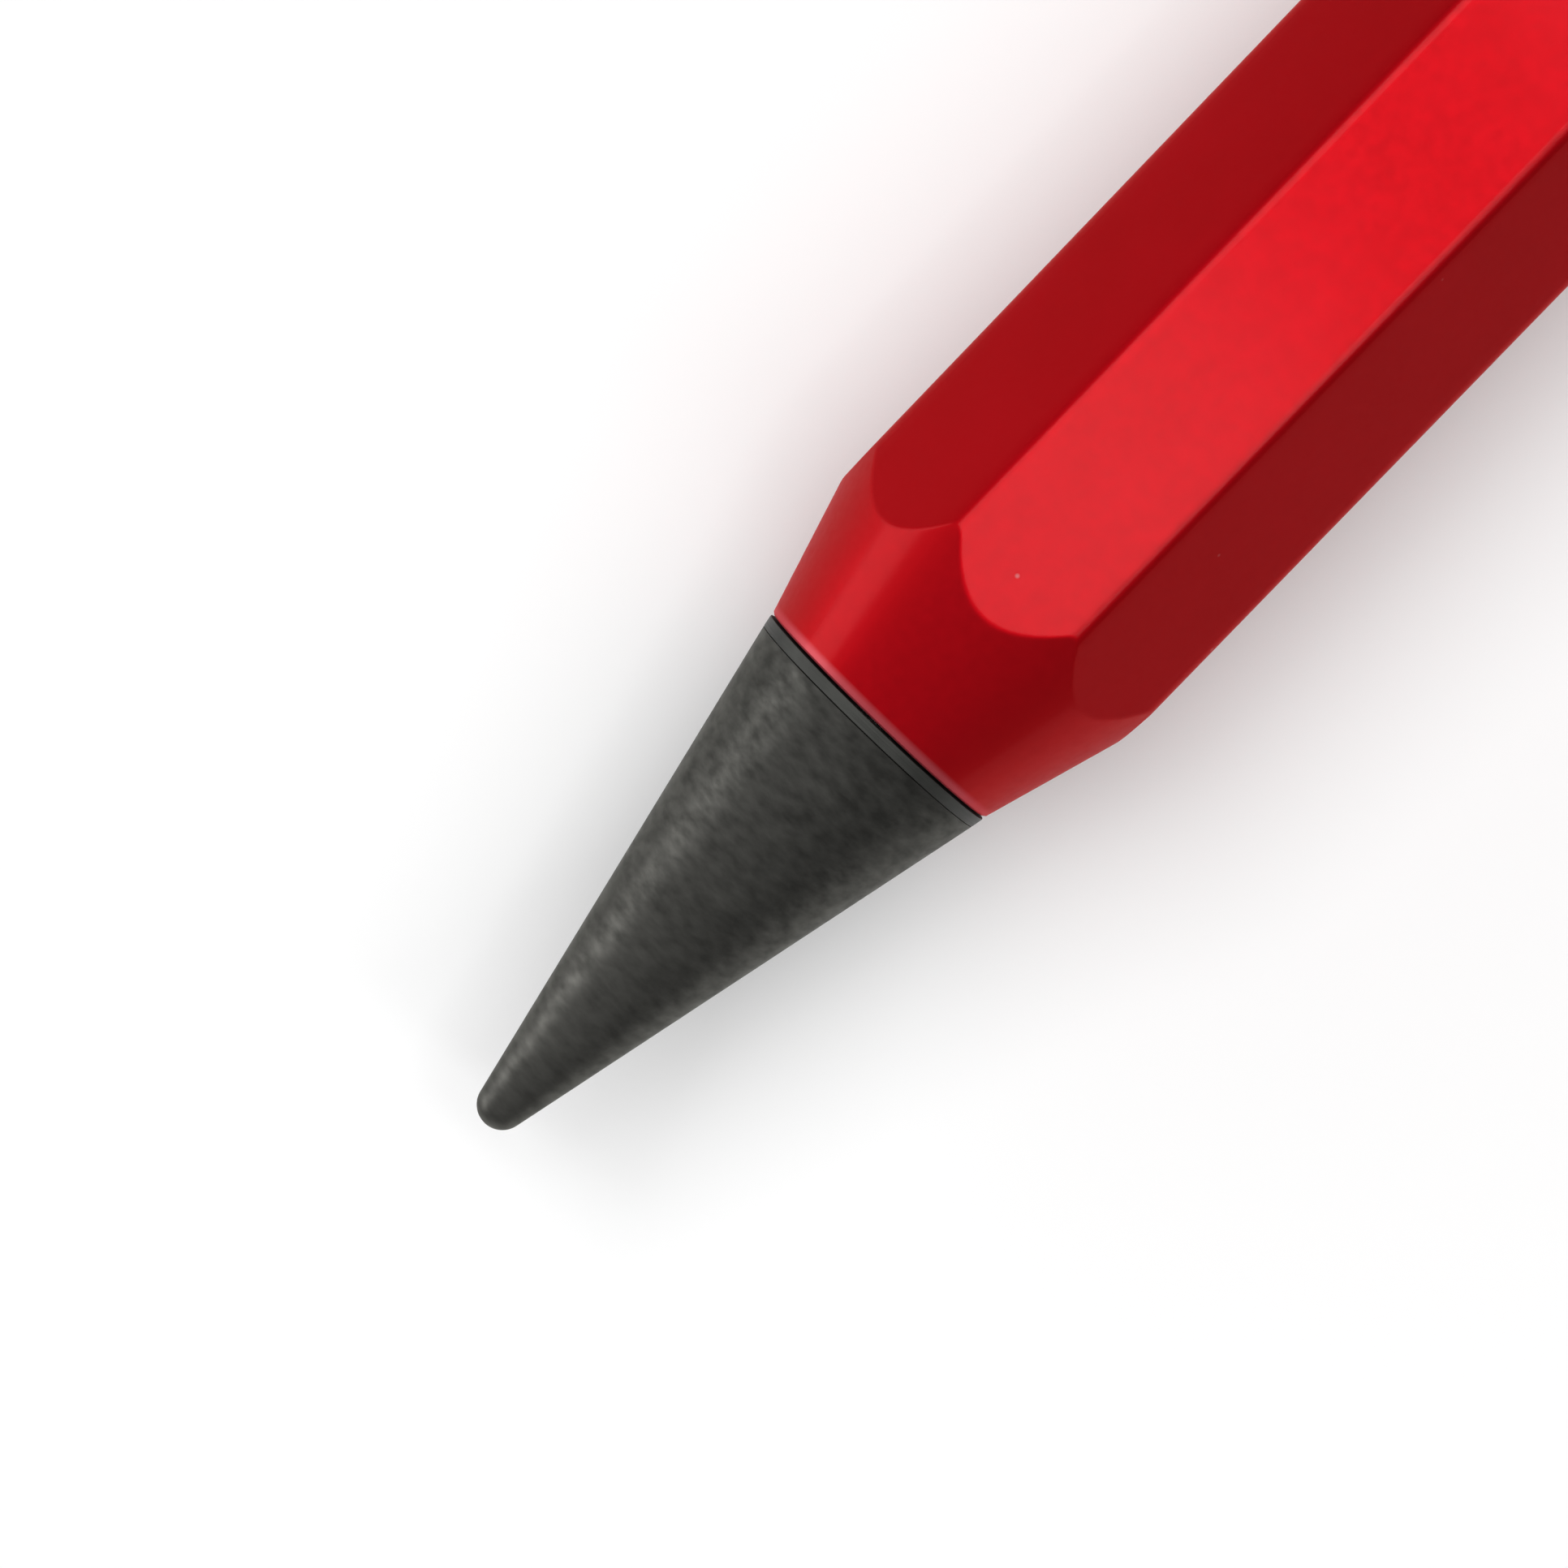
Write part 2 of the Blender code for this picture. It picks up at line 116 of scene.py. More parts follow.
def turned_mesh(name, outline, steps=TURNING_STEPS, start=0.0, span=math.tau):
    """Turn an outline of (x, radius) points about the holder's axis.

    A point at radius 0 is a pole. An outline that starts and ends off the axis closes on itself, and a
    span below a full turn gives a sector with flat ends.
    """
    shape = bmesh.new()
    whole = span >= math.tau
    columns = steps if whole else steps + 1
    rings = []
    for x, radius in outline:
        if radius == 0:
            rings.append([shape.verts.new((x, 0, axis_z))] * columns)
            continue
        turns = [start + span * column / steps for column in range(columns)]
        rings.append([shape.verts.new((x, radius * math.sin(turn), axis_z + radius * math.cos(turn)))
                      for turn in turns])
    pairs = list(zip(rings, rings[1:]))
    if outline[0][1] and outline[-1][1]:
        pairs.append((rings[-1], rings[0]))
    for near, far in pairs:
        if near[0] is near[1] and far[0] is far[1]:
            continue
        for column in range(steps):
            after = (column + 1) % columns
            corners = [near[column], near[after], far[after], far[column]]
            shape.faces.new(dict.fromkeys(corners))
    if not whole:
        shape.faces.new([ring[0] for ring in rings])
        shape.faces.new([ring[-1] for ring in reversed(rings)])
    bmesh.ops.recalc_face_normals(shape, faces=shape.faces)
    mesh = bpy.data.meshes.new(name)
    shape.to_mesh(mesh)
    shape.free()
    return mesh


def smooth_shading(mesh):
    """Shade a mesh smooth, apart from its real edges."""
    mesh.shade_smooth()
    mesh.set_sharp_from_angle(angle=REAL_EDGE)


def add_piece(name, mesh, body, slot, *nodes):
    """Link a finished mesh as a piece that rides on a body and stands for CAD nodes."""
    piece = bpy.data.objects.new(name, mesh)
    bpy.context.scene.collection.objects.link(piece)
    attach(piece, body)
    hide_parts(*nodes)
    return piece


def add_node(tree, kind, inputs=(), **settings):
    """Add a node with its settings, and set or link each input by name or by place."""
    made = tree.nodes.new(kind)
    for setting, choice in settings.items():
        setattr(made, setting, choice)
    pairs = inputs.items() if isinstance(inputs, dict) else enumerate(inputs)
    for key, source in pairs:
        if isinstance(source, bpy.types.NodeSocket):
            tree.links.new(source, made.inputs[key])
        else:
            made.inputs[key].default_value = source
    return made


def maths(tree, operation, *inputs):
    """Output of a Math node."""
    return add_node(tree, "ShaderNodeMath", inputs, operation=operation).outputs[0]


def stretch(tree, source, low, high, to_low, to_high):
    """Output of a clamped Map Range node."""
    return add_node(tree, "ShaderNodeMapRange", (source, low, high, to_low, to_high)).outputs[0]


def choose(tree, condition, otherwise, chosen):
    """Output of a Switch node between two numbers."""
    switch = add_node(tree, "GeometryNodeSwitch", (condition, otherwise, chosen), input_type="FLOAT")
    return switch.outputs[0]


def new_tree(name, inputs):
    """A Geometry Nodes tree with named inputs for its sizes, and its Group Input node."""
    tree = bpy.data.node_groups.new(name, "GeometryNodeTree")
    tree.interface.new_socket("Geometry", in_out="OUTPUT", socket_type="NodeSocketGeometry")
    tree.interface.new_socket("Geometry", in_out="INPUT", socket_type="NodeSocketGeometry")
    for label in inputs:
        tree.interface.new_socket(label, in_out="INPUT", socket_type="NodeSocketFloat")
    tree.interface.new_socket("Material", in_out="INPUT", socket_type="NodeSocketMaterial")
    return tree, tree.nodes.new("NodeGroupInput")


def close_tree(tree, given, geometry):
    """End a tree in Realize Instances and Set Material."""
    whole = add_node(tree, "GeometryNodeRealizeInstances", {"Geometry": geometry})
    dressed = add_node(tree, "GeometryNodeSetMaterial", {"Geometry": whole.outputs[0],
                                                         "Material": given.outputs["Material"]})
    add_node(tree, "NodeGroupOutput", {"Geometry": dressed.outputs[0]})


def grown_mesh(name, base, tree, sizes, material):
    """Run a Geometry Nodes tree on a base mesh, and give back the plain mesh that it makes."""
    carrier = bpy.data.objects.new(name, base)
    bpy.context.scene.collection.objects.link(carrier)
    modifier = carrier.modifiers.new(name, "NODES")
    modifier.node_group = tree
    for socket in tree.interface.items_tree:
        if socket.in_out == "INPUT" and socket.name in sizes:
            modifier[socket.identifier] = sizes[socket.name]
        if socket.in_out == "INPUT" and socket.name == "Material":
            modifier[socket.identifier] = material
    evaluated = carrier.evaluated_get(bpy.context.evaluated_depsgraph_get())
    mesh = bpy.data.meshes.new_from_object(evaluated)
    mesh.name = name
    carrier.modifiers.remove(modifier)
    bpy.data.objects.remove(carrier)
    return mesh


def flats_tree():
    """Mill the flats on a turned blank: each row of the blank's skin is drawn in to the octagon."""
    sizes = {"Flat Radius": flat_radius, "Edge Radius": EDGE_RADIUS, "Axis Height": axis_z,
             "Nose Start": nose_start_x, "Mouth": mouth_x, "Rear": rear_x, "Mouth Radius": mouth_radius,
             "Rear Radius": rear_radius, "Nose Slope": NOSE_SLOPE, "Rear Slope": REAR_SLOPE,
             "Blank Shoulder": shoulder_x, "Blank Heel": heel_x, "Crease Round": CREASE_ROUND}
    tree, given = new_tree("mill_flats", sizes)
    size = given.outputs
    side_turn = math.tau / SIDES
    half_side = side_turn / 2

    place = add_node(tree, "GeometryNodeInputPosition").outputs[0]
    x, y, z = add_node(tree, "ShaderNodeSeparateXYZ", (place,)).outputs
    rise = maths(tree, "SUBTRACT", z, size["Axis Height"])
    radius = maths(tree, "SQRT", maths(tree, "ADD", maths(tree, "MULTIPLY", y, y),
                                       maths(tree, "MULTIPLY", rise, rise)))
    turn = maths(tree, "ARCTAN2", y, rise)

    # Columns crowd towards the rounded edges.
    inner_radius = maths(tree, "SUBTRACT", size["Flat Radius"], size["Edge Radius"])
    centre_reach = maths(tree, "DIVIDE", inner_radius, math.cos(half_side))
    half_flat = maths(tree, "MULTIPLY", centre_reach, math.sin(half_side))
    flat_turn = maths(tree, "ARCTAN2", half_flat, size["Flat Radius"])
    nearest_side = maths(tree, "ROUND", maths(tree, "DIVIDE", turn, side_turn))
    side = maths(tree, "MULTIPLY", nearest_side, side_turn)
    from_middle = maths(tree, "SUBTRACT", turn, side)
    share = maths(tree, "DIVIDE", maths(tree, "ABSOLUTE", from_middle), half_side)
    flat_share = FLAT_COLUMNS / SIDE_COLUMNS
    edge_turn = maths(tree, "SUBTRACT", half_side, flat_turn)
    spread = maths(tree, "ADD", stretch(tree, share, 0.0, flat_share, 0.0, flat_turn),
                   stretch(tree, share, flat_share, 1.0, 0.0, edge_turn))
    new_turn = maths(tree, "MULTIPLY_ADD", maths(tree, "SIGN", from_middle), spread, side)

    # The octagon's own radius: a flat, or the round of an edge.
    on_flat = maths(tree, "DIVIDE", size["Flat Radius"], maths(tree, "COSINE", spread))
    from_corner = maths(tree, "SUBTRACT", half_side, spread)
    aside = maths(tree, "MULTIPLY", centre_reach, maths(tree, "SINE", from_corner))
    ahead = maths(tree, "MULTIPLY", centre_reach, maths(tree, "COSINE", from_corner))
    inside = maths(tree, "SUBTRACT", maths(tree, "MULTIPLY", size["Edge Radius"], size["Edge Radius"]),
                   maths(tree, "MULTIPLY", aside, aside))
    on_edge = maths(tree, "ADD", ahead, maths(tree, "SQRT", maths(tree, "MAXIMUM", inside, 0.0)))
    section = choose(tree, maths(tree, "LESS_THAN", spread, flat_turn), on_edge, on_flat)

    # Rows follow the scallops, where the turned cone and chamfer meet the octagon.
    nose_rise = maths(tree, "SUBTRACT", section, size["Mouth Radius"])
    nose_run = maths(tree, "DIVIDE", nose_rise, size["Nose Slope"])
    scallop = maths(tree, "ADD", size["Mouth"], nose_run)
    rear_rise = maths(tree, "SUBTRACT", section, size["Rear Radius"])
    rear_run = maths(tree, "DIVIDE", rear_rise, size["Rear Slope"])
    heel = maths(tree, "SUBTRACT", size["Rear"], rear_run)
    nose_part = stretch(tree, x, size["Nose Start"], size["Blank Shoulder"], 0.0,
                        maths(tree, "SUBTRACT", scallop, size["Nose Start"]))
    body_part = stretch(tree, x, size["Blank Shoulder"], size["Blank Heel"], 0.0,
                        maths(tree, "SUBTRACT", heel, scallop))
    rear_part = stretch(tree, x, size["Blank Heel"], size["Rear"], 0.0, rear_run)
    new_x = maths(tree, "ADD", maths(tree, "ADD", size["Nose Start"], nose_part),
                  maths(tree, "ADD", body_part, rear_part))
    cone = maths(tree, "MULTIPLY_ADD", maths(tree, "SUBTRACT", new_x, size["Mouth"]), size["Nose Slope"],
                 size["Mouth Radius"])
    chamfer = maths(tree, "MULTIPLY_ADD", maths(tree, "SUBTRACT", size["Rear"], new_x), size["Rear Slope"],
                    size["Rear Radius"])
    skin = maths(tree, "SMOOTH_MIN", maths(tree, "MINIMUM", cone, chamfer), section, size["Crease Round"])

    # Only the outer skin is milled. The mouth's face and the bore stay as they were turned.
    is_skin = maths(tree, "GREATER_THAN", radius, size["Mouth Radius"])
    kept_x = choose(tree, is_skin, x, new_x)
    kept_radius = choose(tree, is_skin, radius, skin)
    new_y = maths(tree, "MULTIPLY", kept_radius, maths(tree, "SINE", new_turn))
    new_z = maths(tree, "MULTIPLY_ADD", kept_radius, maths(tree, "COSINE", new_turn), size["Axis Height"])
    new_place = add_node(tree, "ShaderNodeCombineXYZ", (kept_x, new_y, new_z)).outputs[0]
    milled = add_node(tree, "GeometryNodeSetPosition", {"Geometry": size["Geometry"], "Position": new_place})
    close_tree(tree, given, milled.outputs[0])
    return tree, sizes


def new_finish(name):
    """A node material, with its tree, its Principled shader and its Object coordinates."""
    material = bpy.data.materials.new(name)
    material.use_nodes = True
    tree = material.node_tree
    place = add_node(tree, "ShaderNodeTexCoord").outputs["Object"]
    return material, tree, tree.nodes["Principled BSDF"], place


def noise(tree, place, grain, detail=2.0, stretch_by=(1.0, 1.0, 1.0)):
    """Noise whose grain is a length in metres, stretched along the axes."""
    scaled = add_node(tree, "ShaderNodeMapping", {"Vector": place, "Scale": stretch_by}).outputs[0]
    return add_node(tree, "ShaderNodeTexNoise", {"Vector": scaled, "Scale": 1 / grain,
                                                 "Detail": detail}).outputs[0]


def even_out(tree, cloud, to_low, to_high, low=0.3, high=0.7):
    """Spread the middle of a noise, where nearly all of it lies, over a range."""
    return stretch(tree, cloud, low, high, to_low, to_high)


def tint(tree, factor, first, second):
    """Mix of two colours. The numbers are the places of a Mix node's colour sockets."""
    mixed = add_node(tree, "ShaderNodeMix", data_type="RGBA")
    tree.links.new(factor, mixed.inputs[0])
    for place, colour in ((6, first), (7, second)):
        if isinstance(colour, bpy.types.NodeSocket):
            tree.links.new(colour, mixed.inputs[place])
        else:
            mixed.inputs[place].default_value = (*colour, 1.0)
    return mixed.outputs[2]


def bump(tree, shader, height, depth):
    """Bump whose depth is a length in metres."""
    bumped = add_node(tree, "ShaderNodeBump", {"Height": height, "Distance": depth, "Strength": 1.0})
    tree.links.new(bumped.outputs[0], shader.inputs["Normal"])


def red_anodised():
    """Dyed anodised aluminium under a thin clear coat, faintly mottled, with a few specks of dust."""
    material, tree, shader, place = new_finish("red_anodised")
    cloud = noise(tree, place, grain=0.0022, detail=3.0)
    colour = tint(tree, even_out(tree, cloud, 0.0, 1.0), RED_DARK, RED_LIGHT)
    specks = add_node(tree, "ShaderNodeTexVoronoi",
                      {"Vector": place, "W": DUST_SEED, "Scale": 1 / DUST_SPACING}, voronoi_dimensions="4D")
    dust = stretch(tree, specks.outputs["Distance"], SPECK_CORE, SPECK_EDGE, DUST_SHARE, 0.0)
    dusty = tint(tree, dust, colour, DUST_COLOUR)
    x = add_node(tree, "ShaderNodeSeparateXYZ", (place,)).outputs["X"]
    # A paler red is painted on the mouth's rim: partly the lip's wear, partly a painted highlight of the
    # lip.
    rim = stretch(tree, x, mouth_x + RIM_HIGHLIGHT_AND_WEAR_WIDTH, mouth_x + 2 * RIM_HIGHLIGHT_AND_WEAR_WIDTH, RIM_HIGHLIGHT_AND_WEAR_SHARE, 0.0)
    tree.links.new(tint(tree, rim, dusty, RIM_HIGHLIGHT_AND_WEAR_RED), shader.inputs["Base Color"])
    satin = even_out(tree, noise(tree, place, grain=0.00022), RED_SMOOTH, RED_ROUGH)
    roughness = maths(tree, "MULTIPLY_ADD", dust, DUST_ROUGHNESS, satin)
    tree.links.new(roughness, shader.inputs["Roughness"])
    shader.inputs["Metallic"].default_value = RED_METALLIC
    shader.inputs["Specular Tint"].default_value = RED_SHEEN
    shader.inputs["Coat Weight"].default_value = COAT_WEIGHT
    shader.inputs["Coat Roughness"].default_value = COAT_ROUGHNESS
    bump(tree, shader, noise(tree, place, grain=0.0005, detail=1.0), RIPPLE_DEPTH)
    return material


def barrel_blank():
    """Outline of the turned and bored blank, round outside, before its flats are milled."""
    reach = 2 * CREASE_ROUND / NOSE_SLOPE
    nose_end = shoulder_x - reach
    outline = [(mouth_x, mouth_radius - MOUTH_LIP)]
    for row in range(NOSE_ROWS):
        outline.append((nose_start_x + (nose_end - nose_start_x) * row / NOSE_ROWS, corner_radius))
    for row in range(-CREASE_ROWS, CREASE_ROWS + 1):
        outline.append((shoulder_x + reach * row / CREASE_ROWS, corner_radius))
    body_start = shoulder_x + reach
    body_end = heel_x - reach
    for row in range(1, BODY_ROWS):
        outline.append((body_start + (body_end - body_start) * row / BODY_ROWS, corner_radius))
    for row in range(-CREASE_ROWS, CREASE_ROWS):
        outline.append((heel_x + reach * row / CREASE_ROWS, corner_radius))
    outline += [(rear_x, rear_radius), (rear_x, main_bore), (bore_step_x, main_bore),
                (bore_step_x, sleeve_bore), (bush_floor_x, sleeve_bore), (bush_floor_x, nose_bore),
                (mouth_x, nose_bore)]
    return outline


blank = turned_mesh("barrel_blank", barrel_blank(), SIDES * SIDE_COLUMNS)
mill_flats, barrel_sizes = flats_tree()
barrel_mesh = grown_mesh("red_barrel", blank, mill_flats, barrel_sizes, red_anodised())
smooth_shading(barrel_mesh)
add_piece("red_barrel", barrel_mesh, "barrel", "red_barrel", "barrel")

# Closing bush. A turned brass ring, pressed into the nose just behind the mouth. Its front is a shallow cone
# that squeezes the clutch jaws on the stem when the spring draws them back.
SEAT_LIP = 0.00022
SEAT_LENGTH = 0.0034
SEAT_SLOPE = math.tan(math.radians(8.0))
BUSH_CHAMFER = 0.00015
BRASS_DARK = (0.52, 0.35, 0.12)
BRASS_LIGHT = (0.66, 0.47, 0.19)
BRASS_ROUGHNESS = 0.30
LATHE_RING_SHARE = 0.4
LATHE_RING_DEPTH = 0.0000015
LATHE_SMOOTHER = 0.05
LATHE_ROUGHER = 0.08


def extent(node):
    """Front, rear and outer radius of a turned piece of the frame."""
    low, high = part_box(node)
    return low.x, high.x, high.z - axis_z


def turned_metal(name, dark, light, roughness):
    """Bare metal with the fine rings that a lathe leaves, a little uneven in tone."""
    material, tree, shader, place = new_finish(name)
    rings = noise(tree, place, grain=0.00005, stretch_by=(1.0, 0.02, 0.02))
    cloud = noise(tree, place, grain=0.0012, detail=3.0)
    tone = maths(tree, "MULTIPLY_ADD", rings, LATHE_RING_SHARE,
                 maths(tree, "MULTIPLY", cloud, 1 - LATHE_RING_SHARE))
    colour = tint(tree, even_out(tree, tone, 0.0, 1.0, low=0.38, high=0.62), dark, light)
    tree.links.new(colour, shader.inputs["Base Color"])
    satin = even_out(tree, rings, roughness - LATHE_SMOOTHER, roughness + LATHE_ROUGHER)
    tree.links.new(satin, shader.inputs["Roughness"])
    shader.inputs["Metallic"].default_value = 1.0
    bump(tree, shader, rings, LATHE_RING_DEPTH)
    return material


def add_turned(name, outline, finish, body, slot, node, **turning):
    """A turned piece in one finish."""
    mesh = turned_mesh(name, outline, **turning)
    mesh.materials.append(finish)
    smooth_shading(mesh)
    return add_piece(name, mesh, body, slot, node)


bush_front, bush_rear, bush_radius = extent("closing_bush")
seat_radius = bush_radius - SEAT_LIP
throat_radius = seat_radius - SEAT_LENGTH * SEAT_SLOPE
turned_brass = turned_metal("turned_brass", BRASS_DARK, BRASS_LIGHT, BRASS_ROUGHNESS)
add_turned("nose_bush",
           [(bush_front, seat_radius), (bush_front, bush_radius), (bush_rear - BUSH_CHAMFER, bush_radius),
            (bush_rear, bush_radius - BUSH_CHAMFER), (bush_rear, throat_radius),
            (bush_front + SEAT_LENGTH, throat_radius)],
           turned_brass, "barrel", "brass", "closing_bush")

# Guide bush. A plain brass bush, pressed against the step in the barrel's bore. The lead tube slides in it,
# and the return spring stands on its rear face.
GUIDE_CHAMFER = 0.0002


def ring_outline(front, rear, inner, outer, chamfer):
    """Outline of a ring or tube with its four edges broken."""
    return [(front, inner + chamfer), (front, outer - chamfer), (front + chamfer, outer),
            (rear - chamfer, outer), (rear, outer - chamfer), (rear, inner + chamfer),
            (rear - chamfer, inner), (front + chamfer, inner)]


tube_front, tube_rear, tube_radius = extent("lead_tube")
tube_run = tube_radius + SLIDE_FIT
guide_front, guide_rear, guide_radius = extent("guide_bush")
add_turned("tube_guide", ring_outline(guide_front, guide_rear, tube_run, guide_radius, GUIDE_CHAMFER),
           turned_brass, "barrel", "brass", "guide_bush")

# Rear bush. A turned steel bush with a flange, fixed in the barrel's rear end. The flange covers the end of
# the red bar, and the lead tube slides in its bore.
FLANGE_CHAMFER = 0.0002
FLANGE_BREAK = FLANGE_CHAMFER / 2
SATIN_STEEL_DARK = (0.50, 0.50, 0.49)
SATIN_STEEL_LIGHT = (0.64, 0.64, 0.63)
SATIN_STEEL_ROUGHNESS = 0.26
rear_front, flange_rear, flange_radius = extent("rear_bush")
flange_front = rear_x + SLIDE_FIT
satin_steel = turned_metal("satin_steel", SATIN_STEEL_DARK, SATIN_STEEL_LIGHT, SATIN_STEEL_ROUGHNESS)
add_turned("rear_flange_bush",
           [(rear_front, tube_run), (rear_front, guide_radius - GUIDE_CHAMFER),
            (rear_front + GUIDE_CHAMFER, guide_radius), (flange_front, guide_radius),
            (flange_front, flange_radius - FLANGE_BREAK), (flange_front + FLANGE_BREAK, flange_radius),
            (flange_rear - FLANGE_CHAMFER, flange_radius), (flange_rear, flange_radius - FLANGE_CHAMFER),
            (flange_rear, tube_run + FLANGE_CHAMFER), (flange_rear - FLANGE_CHAMFER, tube_run)],
           satin_steel, "barrel", "bright_steel", "rear_bush")

# Clutch jaws. Three brass fingers round the stem, sawn from one turned piece. Each has a tapered head with
# fine grip rings inside, and its root is held in the clutch sleeve.
JAWS = 3
JAW_SPAN = math.radians(112.0)
JAW_STEPS = 32
HEAD_LENGTH = 0.0030
NECK_CLEARANCE = 0.0003
JAW_NOSE_ROUND = 0.00012
GRIP_RINGS = 6
GRIP_PITCH = 0.0004
GRIP_DEPTH = 0.00008
stem_front, stem_rear, stem_radius = extent("point_stem")
jaw_front, jaw_rear, _ = extent("clutch_jaw_1")
jaw_bore = stem_radius + SLIDE_FIT
neck_radius = throat_radius - NECK_CLEARANCE


def seat_at(x):
    """Radius of a jaw's head where it lies in the seat."""
    return seat_radius - (x - bush_front) * SEAT_SLOPE - SLIDE_FIT


head_rear = jaw_front + HEAD_LENGTH
nose_round_x = jaw_front + JAW_NOSE_ROUND
jaw_outline = [(jaw_front, jaw_bore), (jaw_front, seat_at(jaw_front) - JAW_NOSE_ROUND),
               (nose_round_x, seat_at(nose_round_x)), (head_rear, seat_at(head_rear)),
               (jaw_front + SEAT_LENGTH, neck_radius), (jaw_rear, neck_radius), (jaw_rear, jaw_bore)]
for ring in range(GRIP_RINGS, 0, -1):
    middle = jaw_front + ring * GRIP_PITCH
    jaw_outline += [(middle + GRIP_DEPTH, jaw_bore), (middle, jaw_bore + GRIP_DEPTH),
                    (middle - GRIP_DEPTH, jaw_bore)]
for jaw in range(JAWS):
    middle_turn = -jaw * math.tau / JAWS
    add_turned(f"clutch_finger_{jaw + 1}", jaw_outline, turned_brass, f"jaw_{jaw + 1}", "brass",
               f"clutch_jaw_{jaw + 1}", steps=JAW_STEPS, start=middle_turn - JAW_SPAN / 2, span=JAW_SPAN)

# Clutch sleeve. A brass sleeve that slides in the barrel. It holds the jaws' roots in its front and the lead
# tube in its rear.
SOCKET_CLEARANCE = 0.00008
SLEEVE_CHAMFER = 0.0001
sleeve_front, sleeve_rear, sleeve_radius = extent("clutch_sleeve")
tube_bore = stem_radius + 2 * SLIDE_FIT
tube_fit = tube_radius + PRESS_FIT
socket_radius = neck_radius + SOCKET_CLEARANCE
socket_floor = jaw_rear + SLIDE_FIT
tube_seat = tube_front - SLIDE_FIT
add_turned("clutch_socket",
           [(sleeve_front, socket_radius), (sleeve_front, sleeve_radius - SLEEVE_CHAMFER),
            (sleeve_front + SLEEVE_CHAMFER, sleeve_radius), (sleeve_rear - SLEEVE_CHAMFER, sleeve_radius),
            (sleeve_rear, sleeve_radius - SLEEVE_CHAMFER), (sleeve_rear, tube_fit), (tube_seat, tube_fit),
            (tube_seat, tube_bore), (socket_floor, tube_bore), (socket_floor, socket_radius)],
           turned_brass, "clutch", "brass", "clutch_sleeve")

# Lead tube. A drawn steel tube from the clutch sleeve to the button, which shows between the rear bush and
# the button. A groove near its middle holds the retaining ring.
GROOVE_DEPTH = 0.0002
TUBE_CHAMFER = 0.00008
TUBE_STEEL_DARK = (0.54, 0.54, 0.53)
TUBE_STEEL_LIGHT = (0.64, 0.64, 0.63)
TUBE_STEEL_ROUGHNESS = 0.24
SCRATCH_DEPTH = 0.000001
SCRATCH_SMOOTHER = 0.05
SCRATCH_ROUGHER = 0.07
ring_front, ring_rear, _ = extent("retaining_ring")
groove_radius = tube_radius - GROOVE_DEPTH
groove_front = ring_front - SLIDE_FIT / 2
groove_rear = ring_rear + SLIDE_FIT / 2


def drawn_metal(name, dark, light, roughness):
    """Bright metal drawn through a die, with faint scratches along the holder."""
    material, tree, shader, place = new_finish(name)
    scratches = noise(tree, place, grain=0.00006, stretch_by=(0.02, 1.0, 1.0))
    colour = tint(tree, even_out(tree, scratches, 0.0, 1.0), dark, light)
    tree.links.new(colour, shader.inputs["Base Color"])
    satin = even_out(tree, scratches, roughness - SCRATCH_SMOOTHER, roughness + SCRATCH_ROUGHER)
    tree.links.new(satin, shader.inputs["Roughness"])
    shader.inputs["Metallic"].default_value = 1.0
    bump(tree, shader, scratches, SCRATCH_DEPTH)
    return material


drawn_steel = drawn_metal("drawn_steel", TUBE_STEEL_DARK, TUBE_STEEL_LIGHT, TUBE_STEEL_ROUGHNESS)
add_turned("feed_tube",
           [(tube_front, tube_bore), (tube_front, tube_radius - TUBE_CHAMFER),
            (tube_front + TUBE_CHAMFER, tube_radius), (groove_front, tube_radius),
            (groove_front, groove_radius), (groove_rear, groove_radius), (groove_rear, tube_radius),
            (tube_rear, tube_radius), (tube_rear, tube_bore)],
           drawn_steel, "clutch", "bright_steel", "lead_tube")

# Return spring. One round steel wire, coiled with a closer turn at each end. It stands between the guide
# bush and the spring collar, and shortens from its rear end when the button goes in.
SPRING_WIRE = 0.0005
SPRING_TURNS = 13
SPRING_END_PITCH = 0.00098
SPRING_TURN_POINTS = 48
WIRE_SIDES = 14
SPRING_DARK = (0.36, 0.36, 0.36)
SPRING_LIGHT = (0.50, 0.50, 0.50)
SPRING_ROUGHNESS = 0.28
spring_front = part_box("return_spring")[0].x
spring_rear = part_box("return_spring")[1].x


